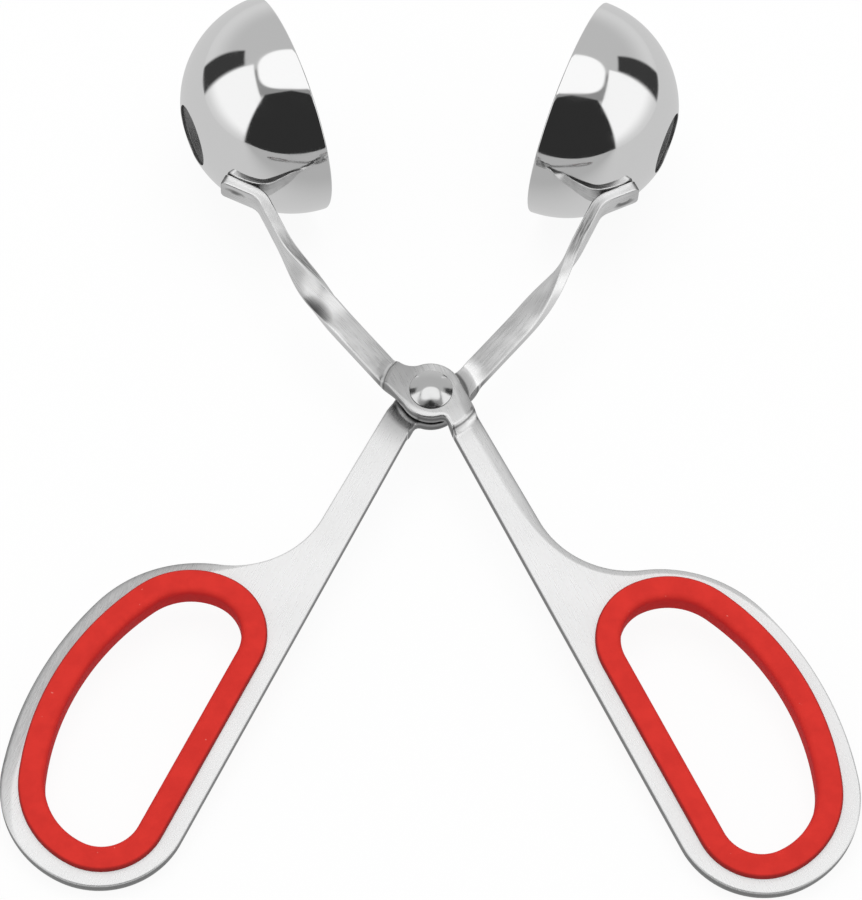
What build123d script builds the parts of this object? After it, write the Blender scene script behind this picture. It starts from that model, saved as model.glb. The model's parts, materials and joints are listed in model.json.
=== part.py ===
from build123d import *
from math import asin, atan2, cos, degrees, hypot, radians, sin, sqrt
import os

# Meatball maker: two stamped steel arms cross at a rivet, like scissors. Each arm ends in a
# half-ball cup at the top and in a finger loop with a soft grip at the bottom. The two arms
# are one and the same part, and the back one is turned over. All lengths are millimetres.
# An arm is drawn in its closed position: the pivot is the origin, the rim of its cup lies
# beside the Y axis, the cup is on the left and the handle points down on the right.

# Cups
cup_radius = 23.0
cup_wall = 0.8
cup_reach = 74.9
rim_clearance = 0.3
rim_round = 0.25
drain_radius = 6.5

# Sheet steel of the arms
sheet = 2.5

# Rivet and washer
rivet_radius = 2.5
rivet_play = 0.05
head_radius = 4.3
head_height = 1.5
head_rim = 0.35
tail_radius = 3.9
tail_height = 1.1
tail_rim = 0.4
washer_radius = 5.2
washer_sheet = 0.75
axial_play = 0.05

# The disc at the pivot, which the press has stepped out of the strip
hub_radius = 6.15
hub_inset = 0.1
shank_fillet = 1.2
strip_fillet = 4.0
step_inside = 7.2
step_run = 1.3
step_wall = 2.0
step_round = 0.5

# Shank, whose straight edge lies beside the Y axis and leans away from it
edge_offset = 0.15
edge_angle = 3.46
shank_width = 6.7
neck_radius = 19.4

# Finger hole: a straight side and five rounds
finger_inset = 8.3
finger_start = 59.8
finger_length = 56.2
round_top_in = 8.2
round_top_out = 11.8
belly_radius = 50.5
round_foot_in = 7.6
round_foot_out = 13.7

# Steel loop: its rounds are larger than the hole's, and its crown has a centre of its own
crown_margin = 14.6
crown_back = 4.5
crown_down = 6.1
belly_margin = 16.7
foot_margin = 8.1
foot_margin_in = 9.2
foot_margin_out = 7.3

# Soft grip: a ring with a groove all round, which holds the edge of the steel
grip_web = 2.0
grip_flange = 5.0
grip_lip = 1.4
grip_fit = 0.05
grip_outer_round = 0.6
grip_inner_round = 1.0

# Upper arm: flat at the pivot, then bowed and twisted a quarter turn, then a bent tab. Its flat
# stretch and its bow follow the reach of the cup, and the tab is measured from its weld.
strip_width = 5.3
strip_angle = 17.0
flat_share = 0.3004
bow_share = 1.3218
bow_angle = 14.5
twist_angle = 90
twist_steps = 8
tab_angle = 42.0
tab_bend = 5.0
tab_length = 3.69
tab_corner = 1.6
weld_sink = 0.15

# Half of the angle between the arms as the tool lies open
half_opening = 22.53

# One overrun serves every cut, and one tolerance every search for a point
overrun = 10.0
tolerance = 0.01

# Worked out from the sizes above
half_sheet = sheet / 2
disc_bottom = (washer_sheet + axial_play) / 2
disc_top = disc_bottom + sheet
step_outside = step_inside + step_wall
shank_root = hub_radius - hub_inset - edge_offset
strip_offset = hub_radius - hub_inset - strip_width / 2
strip_flat = cup_reach * flat_share
bow_radius = cup_reach * bow_share
grip_groove = half_sheet + grip_fit
grip_half = grip_groove + grip_lip
blank_half = disc_top + overrun
finger_end = finger_start + finger_length
arm_reach = finger_end + foot_margin + overrun

# Centres of the arcs, on the plane of the handle, where the shank's straight edge is Y
top_in = Vector(finger_inset + round_top_in, -finger_start - round_top_in)
top_out = Vector(finger_inset + round_top_in, -finger_start - round_top_out)
foot_in = Vector(finger_inset + round_foot_in, -finger_end + round_foot_in)
foot_out = Vector(finger_inset + round_foot_in, -finger_end + round_foot_out)
crown = top_out - Vector(crown_back, crown_down)
crown_radius = round_top_out + crown_margin
sole_in_radius = round_foot_in + foot_margin_in
sole_out_radius = round_foot_out + foot_margin_out
sole_in = Vector(sole_in_radius, -finger_end - foot_margin + sole_in_radius)
sole_out = Vector(sole_in_radius, -finger_end - foot_margin + sole_out_radius)


def heading(start, end):
    """Give the angle of the line from one centre to another, in degrees."""
    return degrees(atan2(end.Y - start.Y, end.X - start.X))


def belly_centre(upper, upper_radius, lower, lower_radius, radius):
    """Find the centre of the long arc that runs into an upper and a lower round."""
    span = lower - upper
    to_upper = radius - upper_radius
    to_lower = radius - lower_radius
    down = (to_upper**2 - to_lower**2 + span.length**2) / (2 * span.length)
    aside = sqrt(to_upper**2 - down**2)
    return upper + span.normalized() * down + span.normalized().rotate(Axis.Z, -90) * aside


def finger_outline(grow):
    """Draw the finger hole, grown by a distance on all sides, on the handle's plane."""
    belly = belly_centre(top_out, round_top_out, foot_out, round_foot_out, belly_radius)
    low = heading(belly, foot_out)
    high = heading(belly, top_out)
    with BuildSketch() as outline:
        with BuildLine():
            CenterArc(foot_in, round_foot_in + grow, 180, 90)
            CenterArc(foot_out, round_foot_out + grow, 270, 90 + low)
            CenterArc(belly, belly_radius + grow, low, high - low)
            CenterArc(top_out, round_top_out + grow, high, 90 - high)
            last = CenterArc(top_in, round_top_in + grow, 90, 90)
            Line(last @ 1, (last.position_at(1).X, foot_in.Y))
        make_face()
    return outline.sketch


def handle_outline():
    """Draw the steel of the handle: loop, hollow neck and shank up to the pivot."""
    belly_steel = belly_radius + belly_margin
    belly = belly_centre(crown, crown_radius, sole_out, sole_out_radius, belly_steel)
    low = heading(belly, sole_out)
    high = heading(belly, crown)
    hollow_x = shank_width + neck_radius
    rise = sqrt((crown_radius + neck_radius) ** 2 - (hollow_x - crown.X) ** 2)
    hollow = Vector(hollow_x, crown.Y + rise)
    turn = heading(crown, hollow)
    with BuildSketch() as outline:
        with BuildLine():
            sole = CenterArc(sole_in, sole_in_radius, 180, 90)
            CenterArc(sole_out, sole_out_radius, 270, 90 + low)
            CenterArc(belly, belly_steel, low, high - low)
            CenterArc(crown, crown_radius, high, turn - high)
            neck = CenterArc(hollow, neck_radius, 180 + turn, -turn)
            Polyline(neck @ 1, (shank_root, 0), (0, 0), sole @ 0)
        make_face()
    return outline.sketch


def handle_plane(seat):
    """Give the plane of the handle on an arm's plane: its Y axis is the straight edge."""
    return Plane(seat * Plane(origin=(edge_offset, 0, 0)).rotated((0, 0, edge_angle)))


def disc_corners(blank):
    """List the corners where strip and shank run out of the disc, from the lowest up."""
    corners = [
        point for point in blank.vertices() if abs(Vector(point).length - hub_radius) < tolerance
    ]
    return ShapeList(corners).sort_by(Axis.Y)


def make_arm(seat):
    """Make one arm: shank and loop, stepped disc, twisted strip and bent tab."""
    handle = handle_plane(seat)
    pivot = Axis(seat.origin, seat.z_dir)
    steel = handle_outline()
    window = finger_outline(grip_web)

    # Middle line of the upper arm: flat stretch, bow, straight stretch and tab
    lean = radians(strip_angle)
    root = Vector(-strip_offset * cos(lean), -strip_offset * sin(lean))
    flat = PolarLine(root, strip_flat, direction=(-sin(lean), cos(lean)))
    bow = JernArc(flat @ 1, flat % 1, bow_radius, -bow_angle)
    tab_lean = radians(tab_angle)
    ball = Vector(0, cup_reach)
    towards_ball = Vector(cos(tab_lean), sin(tab_lean))
    seat_distance = cup_radius - weld_sink + half_sheet
    rise = (ball - bow @ 1).dot(towards_ball) - seat_distance
    corner = bow @ 1 + (bow % 1) * (rise / (bow % 1).dot(towards_ball))
    weld = ball - towards_ball * seat_distance
    tip = weld + Vector(-sin(tab_lean), cos(tab_lean)) * tab_length
    upper = FilletPolyline(bow @ 1, corner, tip, radius=tab_bend)

    with BuildPart() as arm:
        # The blank, cut much thicker than the sheet
        with BuildSketch(seat) as blank:
            Circle(hub_radius)
            with Locations(Location((edge_offset, 0, 0), (0, 0, edge_angle))):
                add(steel)
            trace(flat, line_width=strip_width)
            fillet(disc_corners(blank)[-1], strip_fillet)
            fillet(disc_corners(blank)[:-1], shank_fillet)
        extrude(amount=blank_half, both=True)
        with BuildSketch(handle):
            add(window)
        extrude(amount=blank_half, both=True, mode=Mode.SUBTRACT)

        # The press brings it to the sheet's thickness and steps the disc out of the strip
        with BuildSketch(seat * Plane.XZ) as section:
            with BuildLine():
                Polyline(
                    (0, disc_bottom),
                    (step_inside, disc_bottom),
                    (step_inside + step_run, -half_sheet),
                    (arm_reach, -half_sheet),
                    (arm_reach, half_sheet),
                    (step_outside + step_run, half_sheet),
                    (step_outside, disc_top),
                    (0, disc_top),
                    close=True,
                )
            make_face()
            creases = section.vertices().filter_by_position(
                Axis.X, step_inside, step_outside + step_run
            )
            fillet(creases, step_round)
        revolve(axis=pivot, mode=Mode.INTERSECT)

        # The twisted stretch, through sections square to the bow
        for step in range(twist_steps + 1):
            share = step / twist_steps
            eased = share * share * (3 - 2 * share)
            turn = radians(twist_angle * eased)
            along = bow % share
            across = Vector(along.Y * cos(turn), -along.X * cos(turn), sin(turn))
            with BuildSketch(seat * Plane(origin=bow @ share, x_dir=across, z_dir=along)):
                Rectangle(strip_width, sheet)
        loft()

        # The upright stretch and the tab, seated on the cup in a dished patch
        with BuildSketch(seat):
            trace(upper, line_width=sheet)
        extrude(amount=strip_width / 2, both=True)
        with Locations(seat.location * Location(ball)):
            Sphere(cup_radius, mode=Mode.SUBTRACT)
        tab_end = seat.from_local_coords(tip)
        ends = arm.faces().filter_by(GeomType.PLANE).sort_by_distance(tab_end)[0].edges()
        fillet(ends - ends.filter_by(pivot), tab_corner)

        # The bore for the rivet
        with BuildSketch(seat):
            Circle(rivet_radius + rivet_play)
        extrude(amount=blank_half, mode=Mode.SUBTRACT)
    return arm


def make_cup(seat):
    """Spin one half-ball cup, open at its rim and with a drain hole at its pole."""
    ball = Plane(seat * Plane(origin=(0, cup_reach, 0)))
    with BuildPart() as cup:
        with BuildSketch(ball):
            Circle(cup_radius)
            Circle(cup_radius - cup_wall, mode=Mode.SUBTRACT)
            with Locations((-rim_clearance / 2, drain_radius)):
                Rectangle(
                    cup_radius, cup_radius, align=(Align.MAX, Align.MIN), mode=Mode.INTERSECT
                )
        revolve(axis=Axis(ball.origin, ball.x_dir))
        rim = cup.faces().filter_by(GeomType.PLANE).sort_by(Axis(ball.origin, ball.x_dir))[-1]
        fillet(rim.edges(), rim_round)
    return cup


def make_grip(seat):
    """Mould one soft ring, with the groove in which the steel's edge sits."""
    handle = handle_plane(seat)
    with BuildPart() as grip:
        with BuildSketch(handle):
            add(finger_outline(grip_flange))
            add(finger_outline(0), mode=Mode.SUBTRACT)
        extrude(amount=grip_half, both=True)
        faces = grip.faces().filter_by(handle).sort_by(Axis(handle.origin, handle.z_dir))
        for face in (faces[0], faces[-1]):
            fillet(face.outer_wire().edges(), grip_outer_round)
        faces = grip.faces().filter_by(handle).sort_by(Axis(handle.origin, handle.z_dir))
        for face in (faces[0], faces[-1]):
            fillet(face.inner_wires()[0].edges(), grip_inner_round)
        with BuildSketch(handle):
            add(finger_outline(grip_flange + overrun))
            add(finger_outline(grip_web - grip_fit), mode=Mode.SUBTRACT)
        extrude(amount=grip_groove, both=True, mode=Mode.SUBTRACT)
    return grip


def lay_tool():
    """Find how the open tool lies: on its two cups and on the grips of its two loops."""
    opened = Plane.XY.rotated((0, 0, half_opening))
    reaches = [
        -(handle_plane(opened).location * outline).bounding_box().min.Y
        for outline in (finger_outline(grip_flange - grip_outer_round), handle_outline())
    ]
    grip_reach, steel_reach = reaches
    cup_up = cup_reach * cos(radians(half_opening))
    length = cup_up + grip_reach
    depth = grip_half - grip_outer_round
    tilt = asin((cup_radius - grip_outer_round) / hypot(length, depth)) - atan2(depth, length)
    aside = sin(radians(half_opening)) * cos(tilt)
    front = cup_up * cos(tilt) + cup_radius * sqrt(1 - aside**2)
    back = steel_reach * cos(tilt) + half_sheet * sin(tilt)
    return Plane(
        origin=(0, (back - front) / 2, cup_radius - cup_up * sin(tilt)),
        x_dir=(1, 0, 0),
        z_dir=(0, -sin(tilt), cos(tilt)),
    )


tool = lay_tool()
opened = Location((0, 0, 0), (0, 0, half_opening))
turned_over = Location((0, 0, 0), (0, 180, 0))
front_seat = Plane(tool.location * opened)
back_seat = Plane(tool.location * turned_over * opened)

front_arm = make_arm(front_seat)
back_arm = make_arm(back_seat)
left_cup = make_cup(front_seat)
right_cup = make_cup(back_seat)
right_grip = make_grip(front_seat)
left_grip = make_grip(back_seat)

# Rivet: domed head on the front disc, shank through both bores, tail peened over behind
head_seat = disc_top
tail_seat = -disc_top - axial_play
with BuildPart() as pivot_rivet:
    with BuildSketch(tool * Plane.XZ):
        with BuildLine():
            head = TangentArc(
                (0, head_seat + head_height), (head_radius, head_seat + head_rim), tangent=(1, 0)
            )
            tail = TangentArc(
                (0, tail_seat - tail_height), (tail_radius, tail_seat - tail_rim), tangent=(1, 0)
            )
            Polyline(
                head @ 1,
                (head_radius, head_seat),
                (rivet_radius, head_seat),
                (rivet_radius, tail_seat),
                (tail_radius, tail_seat),
                tail @ 1,
            )
            Line(tail @ 0, head @ 0)
        make_face()
    revolve(axis=Axis(tool.origin, tool.z_dir))

# Washer: keeps the two discs apart, and is clear of the back one by the axial play
with BuildPart() as pivot_washer:
    with BuildSketch(tool.offset(disc_bottom - washer_sheet)):
        Circle(washer_radius)
        Circle(rivet_radius + rivet_play, mode=Mode.SUBTRACT)
    extrude(amount=washer_sheet)

front_arm.part.label = "front_arm"
back_arm.part.label = "back_arm"
left_cup.part.label = "left_cup"
right_cup.part.label = "right_cup"
left_grip.part.label = "left_grip"
right_grip.part.label = "right_grip"
pivot_rivet.part.label = "pivot_rivet"
pivot_washer.part.label = "pivot_washer"

os.makedirs("parts", exist_ok=True)
export_step(front_arm.part, "parts/front_arm.step")
export_step(back_arm.part, "parts/back_arm.step")
export_step(left_cup.part, "parts/left_cup.step")
export_step(right_cup.part, "parts/right_cup.step")
export_step(left_grip.part, "parts/left_grip.step")
export_step(right_grip.part, "parts/right_grip.step")
export_step(pivot_rivet.part, "parts/pivot_rivet.step")
export_step(pivot_washer.part, "parts/pivot_washer.step")
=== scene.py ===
# %% [markdown]
# A meatball maker is scissors with two half balls for blades. Two stamped steel arms cross
# at a rivet. Each arm carries a polished cup at one end and a finger loop with a soft red
# ring at the other. The CAD model settles every size and place, so this script dresses that
# frame: each piece is built again as a smooth mesh on the same spot and gets its finish.

# %% Load the frame
import json
import math

import bmesh
import bpy
from mathutils import Matrix, Vector
from mathutils.geometry import delaunay_2d_cdt


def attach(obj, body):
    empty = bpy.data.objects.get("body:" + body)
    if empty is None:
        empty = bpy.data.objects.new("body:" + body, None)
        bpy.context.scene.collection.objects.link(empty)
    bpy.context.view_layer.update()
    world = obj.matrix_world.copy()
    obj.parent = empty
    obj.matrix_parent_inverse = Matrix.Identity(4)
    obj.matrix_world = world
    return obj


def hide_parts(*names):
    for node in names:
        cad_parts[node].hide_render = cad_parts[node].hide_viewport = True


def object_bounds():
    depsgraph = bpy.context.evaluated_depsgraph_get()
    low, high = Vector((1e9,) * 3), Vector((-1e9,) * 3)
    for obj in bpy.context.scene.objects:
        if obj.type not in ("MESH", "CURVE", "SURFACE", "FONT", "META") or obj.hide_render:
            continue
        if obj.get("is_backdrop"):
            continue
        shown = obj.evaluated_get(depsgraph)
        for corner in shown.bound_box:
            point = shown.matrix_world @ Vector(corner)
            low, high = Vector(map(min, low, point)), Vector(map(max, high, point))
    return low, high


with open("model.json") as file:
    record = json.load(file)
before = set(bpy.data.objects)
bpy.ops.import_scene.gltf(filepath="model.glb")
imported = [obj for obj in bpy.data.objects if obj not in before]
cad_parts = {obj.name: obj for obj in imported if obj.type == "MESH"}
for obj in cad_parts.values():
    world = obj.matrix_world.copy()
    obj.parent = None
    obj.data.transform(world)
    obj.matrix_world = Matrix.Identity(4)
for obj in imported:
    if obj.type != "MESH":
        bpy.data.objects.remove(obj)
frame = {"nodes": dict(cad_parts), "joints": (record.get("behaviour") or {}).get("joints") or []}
cad_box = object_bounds()
mm = 0.001
print("CAD nodes:", sorted(frame["nodes"]))

# %% [markdown]
# Everything is placed from the rivet. Its joint gives the point and the axis, and the two
# arms stand either side of the middle by half of the opening angle. The back arm is the
# front one turned over, which is why one mesh serves both.

# %% Find the rivet and the seats of the two arms
half_opening = math.radians(22.53)
joint = frame["joints"][0]
rivet_axis = Vector(joint["axis"]).normalized()
sideways = Vector((1, 0, 0))
lengthways = rivet_axis.cross(sideways)
turned = Matrix((sideways, lengthways, rivet_axis)).transposed().to_4x4()
tool = Matrix.Translation(joint["pos_m"]) @ turned
opened = Matrix.Rotation(half_opening, 4, "Z")
turned_over = Matrix.Rotation(math.pi, 4, "Y")
front_seat = tool @ opened
back_seat = tool @ turned_over @ opened
print("rivet at", [round(value / mm, 2) for value in tool.translation], "mm")

# %% [markdown]
# The camera repeats the view of the photograph: far off with a long lens, tipped 28 degrees
# towards the finger loops from straight above the tool. Its numbers were found by laying the
# cups, the rivet and the loops over each other, so the frame fits to about a pixel.

# %% Camera
photo_width = 862
photo_height = 900
focal_pixels = 4014.8
camera_distance = 800 * mm
camera_aside = -0.093 * mm
camera_along = 10.595 * mm
camera_tip = math.radians(28.185)
camera_pan = math.radians(1.977)
camera_roll = math.radians(0.133)
nearest_seen = 10 * mm
farthest_seen = 20.0


def link(thing):
    """Put an object in the scene."""
    bpy.context.scene.collection.objects.link(thing)
    return thing


facing = (
    Matrix.Rotation(-camera_tip, 4, "X")
    @ Matrix.Rotation(camera_pan, 4, "Y")
    @ Matrix.Rotation(camera_roll, 4, "Z")
)
camera_data = bpy.data.cameras.new("camera")
camera_data.lens = camera_data.sensor_width * focal_pixels / max(photo_width, photo_height)
camera_data.clip_start = nearest_seen
camera_data.clip_end = farthest_seen
camera = link(bpy.data.objects.new("camera", camera_data))
stand_back = Matrix.Translation((-camera_aside, -camera_along, camera_distance))
camera.matrix_world = tool @ facing.inverted() @ stand_back
bpy.context.scene.camera = camera
bpy.context.scene.view_settings.view_transform = "Standard"
print("lens", round(camera_data.lens, 1), "mm")

# %% [markdown]
# Shader maths reads best as plain sums. This small class wraps a socket, and each operator
# adds the Math node that it stands for.

# %% Write shader maths as sums
class Value:
    """A socket that can be added, multiplied and divided like a number."""

    def __init__(self, sheet, socket):
        self.sheet = sheet
        self.socket = socket

    def maths(self, operation, *others):
        return self.sheet.node("Math", {"operation": operation}, [self, *others])

    def __add__(self, other):
        return self.maths("ADD", other)

    def __sub__(self, other):
        return self.maths("SUBTRACT", other)

    def __rsub__(self, other):
        return self.sheet.node("Math", {"operation": "SUBTRACT"}, [other, self])

    def __mul__(self, other):
        return self.maths("MULTIPLY", other)

    def __truediv__(self, other):
        return self.maths("DIVIDE", other)

    def __abs__(self):
        return self.maths("ABSOLUTE")

    def at_least(self, least):
        return self.maths("MAXIMUM", least)

    def __getitem__(self, name):
        """Give another output of the same node."""
        return Value(self.sheet, self.socket.node.outputs[name])

    __radd__ = __add__
    __rmul__ = __mul__


print("sums ready")

# %% [markdown]
# A value belongs to a sheet: a node tree with one method for every kind of node. It takes
# the node's type, its settings, and what goes into its sockets.

# %% Add a node, set it and feed it
class Sheet:
    """A node tree, with one way to add a node, set it and feed its sockets."""

    def __init__(self, tree, prefix="ShaderNode"):
        self.tree = tree
        self.prefix = prefix

    def feed(self, socket, value):
        if isinstance(value, Value):
            self.tree.links.new(value.socket, socket)
        else:
            socket.default_value = value

    def node(self, kind, settings=None, inputs=()):
        """Add a node, and return its first output in use."""
        made = self.tree.nodes.new(self.prefix + kind)
        for name, value in (settings or {}).items():
            setattr(made, name, value)
        pairs = inputs.items() if isinstance(inputs, dict) else enumerate(inputs)
        for key, value in pairs:
            self.feed(made.inputs[key], value)
        shown = [socket for socket in made.outputs if socket.enabled]
        return Value(self, shown[0]) if shown else made

    def step(self, value, low, high, low_result=0.0, high_result=1.0):
        """Rise smoothly from one result to another while a value goes from low to high."""
        settings = {"interpolation_type": "SMOOTHSTEP"}
        return self.node("MapRange", settings, [value, low, high, low_result, high_result])

    def mix(self, share, first, second):
        """Blend two colours, which a Mix node takes on its sockets 6 and 7."""
        settings = {"data_type": "RGBA"}
        return self.node("Mix", settings, {0: share, 6: first, 7: second})


def blend(share, first, second):
    """Go from one number to another by a share."""
    return first * (1 - share) + second * share


print("shader maths ready")

# %% [markdown]
# Polished steel has no colour of its own: it shows the room. The cups in the photograph
# tell what that room was. A dark opening stood in front, a white panel on either side with a
# dark gap behind it, a white panel overhead, and grey all round. The world paints these by
# direction, so they hold from every side. The room is taken as a box, and one part of a
# direction divided by another gives the place where it meets a wall.

# %% Look round the room
tiny = 0.0001

world = bpy.data.worlds.new("studio")
bpy.context.scene.world = world
world.use_nodes = True
world.node_tree.nodes.clear()
room = Sheet(world.node_tree)
split = room.node("SeparateXYZ", None, [room.node("TexCoord")["Generated"]])
across, ahead, above = split["X"], split["Y"], split["Z"]
flank = abs(across) + tiny
flank_ahead = ahead / flank
flank_above = above / flank
overhead = above.at_least(tiny)
roof_across = across / overhead
roof_ahead = ahead / overhead
front = (0 - ahead).at_least(tiny)
front_across = across / front
front_above = above / front
print("world has", len(world.node_tree.nodes), "nodes for its directions")

# %% [markdown]
# Each shape gets its limits on its wall, and how soft its edges are. The shapes are laid over
# the plain grey room one by one, for reflections only. Soft surfaces see a plain light level
# instead, so that the light stays even, and the camera sees white paper.

# %% Paint the room
roof_white = 1.10
panel_white = 1.05
room_grey = 0.54
horizon_grey = 0.70
horizon_height = 0.50
seam_grey = 0.30
opening_black = 0.030
gap_black = 0.045
plain_level = 0.62
roof_centre = -0.10
roof_half_width = 0.66
roof_half_depth = 0.39
roof_squareness = 3.0
roof_edge = (1.20, 0.80)
seam_edge = (5.0, 3.0)
seam_ahead = (0.06, -0.06)
panel_foot = (-0.10, 0.22)
opening_slope = 0.30
# A shape is its limits sideways, its limits upwards, and the blur of each.
panel_shape = ((-1.0, 0.16), (-0.30, 1.34), (0.03, 0.05))
gap_shape = ((0.19, 0.60), (-0.12, 0.98), (0.04, 0.06))
opening_shape = ((-0.96, 0.96), (-0.30, 1.90), (0.03, 0.05))


def between(value, low, high, blur):
    """Give 1 between two limits and 0 outside, with soft edges."""
    rising = room.step(value, low - blur, low + blur)
    return rising * room.step(value, high - blur, high + blur, 1.0, 0.0)


def on_wall(side, up, shape):
    """Give 1 inside a shape on a wall and 0 outside."""
    side_limits, up_limits, blurs = shape
    return between(side, *side_limits, blurs[0]) * between(up, *up_limits, blurs[1])


roof_far = (
    (abs(roof_across) / roof_half_width).maths("POWER", roof_squareness)
    + (abs(roof_ahead - roof_centre) / roof_half_depth).maths("POWER", roof_squareness)
)
dark_seam = room.step(roof_far, *seam_edge) * room.step(ahead, *seam_ahead)
front_top = front_above + abs(front_across) * opening_slope
panel = blend(room.step(flank_above, *panel_foot), horizon_grey, panel_white)
shade = blend(room.step(abs(above), horizon_height, 0.0), room_grey, horizon_grey)
for mask, tone in (
    (on_wall(flank_ahead, flank_above, gap_shape), gap_black),
    (dark_seam, seam_grey),
    (on_wall(flank_ahead, flank_above, panel_shape), panel),
    (on_wall(front_across, front_top, opening_shape), opening_black),
    (room.step(roof_far, *roof_edge), roof_white),
):
    shade = blend(mask, shade, tone)

path = room.node("LightPath")
level = blend(path["Is Diffuse Ray"], shade, plain_level)
level = blend(path["Is Camera Ray"], level, 1.0)
backdrop = room.node("Background", None, {"Color": (1, 1, 1, 1), "Strength": level})
room.node("OutputWorld", None, [backdrop])
print("world painted with", len(world.node_tree.nodes), "nodes")

# %% [markdown]
# The tool lies on plain pale paper. The camera sees paper white, and a share of real
# shading keeps the soft shadow. In a mirror the paper is grey, as it is in the cups of the
# photograph.

# %% Paper
paper_size = 700 * mm
paper_white = (0.93, 0.93, 0.93, 1.0)
paper_share_seen = 0.92
paper_in_front = 0.47
paper_beside = 0.64
paper_blend = 30 * mm
cups_ahead = 60 * mm


def new_material(name):
    """Start an empty material, and return it with its sheet."""
    material = bpy.data.materials.new(name)
    material.use_nodes = True
    material.node_tree.nodes.clear()
    return material, Sheet(material.node_tree)


paper_look, sheet = new_material("pale_paper")
path = sheet.node("LightPath")
seen = path["Is Camera Ray"] + path["Is Transmission Ray"]
matt = sheet.node("BsdfDiffuse", None, {"Color": paper_white})
glow = sheet.node("Emission", None, {"Color": (1, 1, 1, 1), "Strength": 1.0})
split = sheet.node("SeparateXYZ", None, [sheet.node("TexCoord")["Object"]])
beside = abs(split["X"]) + (split["Y"] - cups_ahead)
beside = sheet.step(beside, -paper_blend, paper_blend)
mirror_level = blend(beside, paper_in_front, paper_beside)
mirrored = sheet.node("Emission", None, {"Color": (1, 1, 1, 1), "Strength": mirror_level})
ground = sheet.node("MixShader", None, [seen * paper_share_seen, matt, glow])
ground = sheet.node("MixShader", None, [path["Is Glossy Ray"], ground, mirrored])
sheet.node("OutputMaterial", None, [ground])

bpy.ops.mesh.primitive_plane_add(size=paper_size)
paper = bpy.context.active_object
paper.name = "paper"
paper.data.materials.append(paper_look)
paper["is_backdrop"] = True
print("paper of", round(paper_size / mm), "mm placed")

# %% [markdown]
# The world gives most of the light. One large soft lamp overhead and a little behind gives
# the grips their shape and the shadow its direction. Mirrors don't see it.

# %% Lamp
lamp_size = 600 * mm
lamp_height = 700 * mm
lamp_behind = 120 * mm
lamp_watts = 2.6

lamp_data = bpy.data.lights.new("overhead_lamp", "AREA")
lamp_data.shape = "SQUARE"
lamp_data.size = lamp_size
lamp_data.energy = lamp_watts
lamp = link(bpy.data.objects.new("overhead_lamp", lamp_data))
lamp.location = (0, lamp_behind, lamp_height)
lamp.visible_glossy = False
print("lamp of", lamp_watts, "W placed")

# %% [markdown]
# Every steel finish here is a random pattern turned into greys, gloss and a slight bump. A
# plain noise gives clouds and haze. The same noise stretched along one direction gives the
# fine lines of a brush or a belt. These helpers are shared by all the finishes.

# %% Patterns and tones
brush_detail = 4.0
brush_roughness = 0.65


def noise(sheet, where, scale, detail=3.0, roughness=0.6):
    """Give a soft random pattern from 0 to 1, in cycles per metre."""
    inputs = {"Vector": where, "Scale": scale, "Detail": detail, "Roughness": roughness}
    return sheet.node("TexNoise", None, inputs)


def stretched(sheet, where, turn, line_width, line_length):
    """Give fine lines, turned about Z in degrees, by their size in millimetres."""
    inputs = {"Vector": where, "Rotation": (0, 0, math.radians(turn))}
    inputs["Scale"] = (line_width * mm, line_length * mm, line_width * mm)
    placed = sheet.node("Mapping", {"vector_type": "TEXTURE"}, inputs)
    return noise(sheet, placed, 1.0, brush_detail, brush_roughness)


def stored(sheet, name, output):
    """Read an attribute that is stored on the mesh."""
    return sheet.node("Attribute", {"attribute_name": name})[output]


def grey(level):
    """Give a neutral colour."""
    return (level, level, level, 1.0)


def two_greys(sheet, pattern, contrast, dark, light):
    """Turn a pattern into two greys. The contrast is where it starts and ends to turn light."""
    return sheet.mix(sheet.step(pattern, *contrast), grey(dark), grey(light))


def finish_metal(sheet, colour, roughness, bump, bump_height, metallic=1.0):
    """End a material in a metal shader."""
    inputs = {"Height": bump, "Distance": bump_height, "Strength": 1.0}
    relief = sheet.node("Bump", None, inputs)
    inputs = {"Base Color": colour, "Metallic": metallic, "Roughness": roughness}
    shader = sheet.node("BsdfPrincipled", None, {**inputs, "Normal": relief})
    sheet.node("OutputMaterial", None, [shader])


print("patterns ready")

# %% [markdown]
# Both arms share one finish. It reads two things that the mesh will store at every point:
# "blank", its place before the press bent the steel, and "wear", which says how far it lies
# on the sheared wall and how far a belt ground it. So every line and mark follows the steel
# through its bends. This cell finds the places in millimetres: from the rivet, along the
# strip that goes to the cup and aside from its middle, and up in the sheet.

# %% Find places on the flat blank
strip_turn = 17.0
strip_angle = math.radians(strip_turn)
strip_middle = 3.4
face_edge = (1.16, 1.24)
cup_side_from = (-5.0, -1.0)
pressed_from = (-10.0, 4.0)
strip_from = (5.0, 11.0)
hub_edge = (8.0, 11.0)

arm_look, sheet = new_material("arm_steel")
blank = stored(sheet, "blank", "Vector")
wear = sheet.node("SeparateXYZ", None, [stored(sheet, "wear", "Vector")])
sheared, belted = wear["X"], wear["Y"]
split = sheet.node("SeparateXYZ", None, [blank])
across = split["X"] / mm
along = split["Y"] / mm
level = split["Z"] / mm
away = sheet.node("VectorMath", {"operation": "LENGTH"}, [blank]) / mm
reach = along * math.cos(strip_angle) - across * math.sin(strip_angle)
aside = across * math.cos(strip_angle) + along * math.sin(strip_angle) + strip_middle
outer = sheet.step(level, *face_edge)
under = sheet.step(0 - level, *face_edge)
cup_side = sheet.step(along, *cup_side_from)
handle_side = 1 - cup_side
pressed = sheet.step(along, *pressed_from)
strip = sheet.step(along, *strip_from)
hub = 1 - sheet.step(away, *hub_edge)
print("places found with", len(arm_look.node_tree.nodes), "nodes")

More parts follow.
